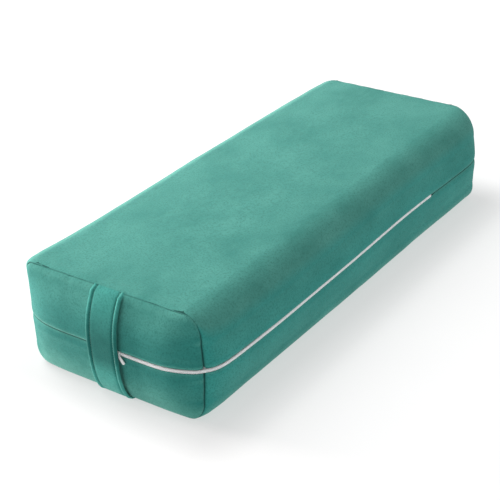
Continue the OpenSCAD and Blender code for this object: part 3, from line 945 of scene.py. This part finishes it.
def strap_section():
    """The sewn strap's cross-section: rolled edges outside two stitched grooves."""
    half, t = STRAP_HALF, STRAP_T
    groove = half - GROOVE_IN
    face = [(0, t), (0.35 * groove, t + 0.05 * MM), (0.7 * groove, t), (groove - 2.2 * MM, t - 0.05 * MM)]
    stitched = [(groove - 1.1 * MM, t - 0.35 * MM), (groove - 0.4 * MM, t - 0.95 * MM),
                (groove, t - 1.25 * MM), (groove + 0.4 * MM, t - 0.9 * MM), (groove + 1.0 * MM, t - 0.1 * MM)]
    rolled = [(groove + 2.0 * MM, t + 0.45 * MM), (groove + 3.4 * MM, t + 0.65 * MM),
              (groove + 4.8 * MM, t + 0.45 * MM), (half - 1.0 * MM, t - 0.15 * MM),
              (half - 0.2 * MM, t - 0.9 * MM), (half, 0.5 * t), (half - 0.3 * MM, 0.35 * MM)]
    under = [(half - 1.2 * MM, 0.0), (groove, 0.15 * MM), (0.5 * groove, 0.0), (0, 0.0)]
    right = face + stitched + rolled + under
    left = [(-x, d) for x, d in right[1:-1]][::-1]
    return np.array(right + left)


def half_line(upper):
    """One half of the strap: its inner face, the directions out of it, and the run along it."""
    line = strap_line(240)
    tangent = np.gradient(line, axis=0)
    tangent /= np.linalg.norm(tangent, axis=1, keepdims=True)
    out = np.cross(np.array([1.0, 0, 0]), tangent)
    out *= np.sign(-out[len(out) // 2, 1])
    split = int(np.argmax(line[:, 2] <= STRAP_SPLIT))
    kept = slice(0, split + 1) if upper else slice(split, None)
    line, out = line[kept], out[kept]
    run = np.concatenate([[0], np.cumsum(np.linalg.norm(np.diff(line, axis=0), axis=1))])
    return line, out, run


def wander(z):
    """How far the strap strays sideways at a height."""
    return 0.5 * MM * math.sin(z * 42 + 0.6)


def above_floor(point):
    point[2] = max(point[2], 0.0)
    return point


def add_stitch(verts, faces, line, out, run, x, s):
    """A bead of thread at run s, thinner at its two ends."""
    base = len(verts)
    sides = STITCH_SIDES
    ends = (s - STITCH_PITCH * 0.34, s, s + STITCH_PITCH * 0.34)
    for e, fat, rise in zip(ends, (0.5, 1.0, 0.5), (0, 0.30 * MM, 0)):
        c = np.array([np.interp(e, run, line[:, a]) for a in range(3)])
        o = np.array([np.interp(e, run, out[:, a]) for a in range(3)])
        c = c + np.array([x + wander(c[2]), 0, 0]) + o * (STRAP_T - 1.15 * MM + rise)
        for a in range(sides):
            ang = a * math.pi / 3
            across = np.array([math.cos(ang), 0, 0]) * STITCH_BEAD * fat
            verts.append(above_floor(c + across + o * math.sin(ang) * STITCH_BEAD * fat))
    for r in range(2):
        low, high = base + r * sides, base + (r + 1) * sides
        for a in range(sides):
            b = (a + 1) % sides
            faces.append([low + a, low + b, high + b, high + a])
    faces.append([base + a for a in range(sides)][::-1])
    faces.append([base + 2 * sides + a for a in range(sides)])


def strap_half(name, upper):
    """The strap above or below STRAP_SPLIT, with its stitches in the second material."""
    line, out, run = half_line(upper)
    section = strap_section()
    n_sec = len(section)
    verts, faces = [], []
    for k in range(len(line)):
        ripple = 0.35 * MM * value_noise(np.array(run[k] / (9 * MM)), np.array(0.3), np.array(0.1), 40)
        for x, d in section:
            edge = smooth((abs(x) - (STRAP_HALF - GROOVE_IN)) / (2 * MM))
            proud = d + ripple * edge * (d > STRAP_T * 0.4)
            beside = np.array([STRAP_X + x + wander(line[k, 2]), 0, 0])
            verts.append(above_floor(line[k] + beside + out[k] * proud))
    for k in range(len(line) - 1):
        for j in range(n_sec):
            n = (j + 1) % n_sec
            faces.append([k * n_sec + j, k * n_sec + n, (k + 1) * n_sec + n, (k + 1) * n_sec + j])
    faces.append(list(range(n_sec))[::-1])
    faces.append([(len(line) - 1) * n_sec + j for j in range(n_sec)])
    strap_faces = len(faces)
    for side in (-1, 1):
        s = STITCH_PITCH
        while s < run[-1] - STITCH_PITCH:
            add_stitch(verts, faces, line, out, run, STRAP_X + side * (STRAP_HALF - GROOVE_IN), s)
            s += STITCH_PITCH
    obj = mesh_object(name, verts, faces, [velvet_strap, thread])
    slots = [0] * strap_faces + [1] * (len(faces) - strap_faces)
    obj.data.polygons.foreach_set("material_index", slots[: len(obj.data.polygons)])
    obj.data.update()
    fix_normals(obj)
    obj.data.set_sharp_from_angle(angle=math.radians(65))
    return obj


strap_upper = strap_half("strap_upper_half", True)
strap_lower = strap_half("strap_lower_half", False)
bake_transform(strap_upper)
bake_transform(strap_lower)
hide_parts("handle_sleeve_top", "handle_sleeve_grip",
            "handle_webbing_top", "handle_webbing_grip")
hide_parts("handle_sleeve_bottom", "handle_webbing_bottom")

# ---- materials of the solids that stay ----------------------------------------------------------

KEPT = {
    "zip_slider": enamel, "zip_pull_tab": enamel,
    "foam_core": foam_cells,
}
for cad_name, material in KEPT.items():
    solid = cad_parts[cad_name]
    if not solid.material_slots:
        solid.data.materials.append(material)
    for place in solid.material_slots:
        place.material = material
for cad_name in ("zip_slider", "zip_pull_tab"):
    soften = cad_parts[cad_name].modifiers.new("soft_edges", "BEVEL")
    soften.width = 0.18 * MM
    soften.segments = 2
    soften.limit_method = "ANGLE"
    soften.angle_limit = math.radians(50)

# ---- floor, light and camera ---------------------------------------------------------------------


# The floor's emission: from and to which distance outside the CAD box it grows, and its least and most.
FLOOR_GLOW = {"From Min": -0.01, "From Max": 0.075, "To Min": 0.56, "To Max": 0.715}
FLOOR_HALF = 6.0


def floor_material():
    """A pale lit table: it glows a little, less so close to the cushion, which paints a soft contact shadow
    there.
    """
    m, nt, shader = new_material("pale_floor")
    coords = node(nt, "ShaderNodeTexCoord").outputs["Object"]
    grain = noise_at(nt, coords, 3, 2)
    pale = blend_colours(nt, grain, (0.33, 0.33, 0.33), (0.35, 0.35, 0.35))
    nt.links.new(pale, shader.inputs["Base Color"])
    shader.inputs["Roughness"].default_value = 0.9
    shader.inputs["Specular IOR Level"].default_value = 0.1
    shader.inputs["Emission Color"].default_value = (1, 1, 1, 1)
    folded = node(nt, "ShaderNodeVectorMath", operation="ABSOLUTE")
    nt.links.new(coords, folded.inputs[0])
    past = node(nt, "ShaderNodeVectorMath", operation="SUBTRACT")
    nt.links.new(folded.outputs["Vector"], past.inputs[0])
    past.inputs[1].default_value = (CAD_HIGH[0], CAD_HIGH[1], 0)
    beyond = node(nt, "ShaderNodeVectorMath", operation="MAXIMUM")
    nt.links.new(past.outputs["Vector"], beyond.inputs[0])
    distance = node(nt, "ShaderNodeVectorMath", operation="LENGTH")
    nt.links.new(beyond.outputs["Vector"], distance.inputs[0])
    glow = node(nt, "ShaderNodeMapRange", interpolation_type="SMOOTHSTEP")
    for key, value in FLOOR_GLOW.items():
        glow.inputs[key].default_value = value
    nt.links.new(distance.outputs["Value"], glow.inputs["Value"])
    nt.links.new(glow.outputs["Result"], shader.inputs["Emission Strength"])
    return m


floor = mesh_object(
    "studio_floor",
    [(FLOOR_HALF * x, FLOOR_HALF * y, 0) for x, y in ((-1, -1), (1, -1), (1, 1), (-1, 1))],
    [[0, 1, 2, 3]],
    floor_material(),
    False,
)


def soft_light(name, place, aim, size, watts, colour=(1, 1, 1)):
    data = bpy.data.lights.new(name, "AREA")
    data.shape = "RECTANGLE"
    data.size, data.size_y = size
    data.energy = watts
    data.color = colour
    obj = bpy.data.objects.new(name, data)
    scene.collection.objects.link(obj)
    obj.location = place
    obj.rotation_euler = (Vector(aim) - Vector(place)).to_track_quat("-Z", "Y").to_euler()
    return obj


soft_light("key_above_left", place=(-1.7, -0.1, 2.2), aim=(0, 0, 0.05), size=(1.6, 2.2), watts=69)
soft_light("rim_low_left", place=(-2.1, -0.72, 0.24), aim=(0, -0.3, 0.07), size=(0.5, 0.5), watts=80,
           colour=(1.0, 0.84, 0.82))

world = bpy.data.worlds.new("studio")
scene.world = world
world.use_nodes = True
background = world.node_tree.nodes["Background"]
background.inputs["Color"].default_value = (1, 1, 1, 1)
background.inputs["Strength"].default_value = 0.42
scene.view_settings.view_transform = "Standard"
scene.view_settings.look = "None"


def view_camera():
    a, e, r = (math.radians(v) for v in (VIEW_AZIMUTH, VIEW_ELEVATION, VIEW_ROLL))
    back = Vector((math.sin(a) * math.cos(e), -math.cos(a) * math.cos(e), math.sin(e)))
    level_right = Vector((math.cos(a), math.sin(a), 0))
    level_up = back.cross(level_right)
    right = level_right * math.cos(r) + level_up * math.sin(r)
    up = -level_right * math.sin(r) + level_up * math.cos(r)
    target = Vector((0, MID_Y, AIM_HEIGHT))
    place = target + right * AIM_RIGHT + up * AIM_UP + back * VIEW_DISTANCE
    data = bpy.data.cameras.new("camera")
    data.lens = VIEW_LENS_MM
    data.sensor_width = SENSOR_MM
    data.clip_end = 50
    obj = bpy.data.objects.new("camera", data)
    scene.collection.objects.link(obj)
    obj.matrix_world = Matrix((
        (right.x, up.x, back.x, place.x),
        (right.y, up.y, back.y, place.y),
        (right.z, up.z, back.z, place.z),
        (0, 0, 0, 1)))
    scene.camera = obj


view_camera()
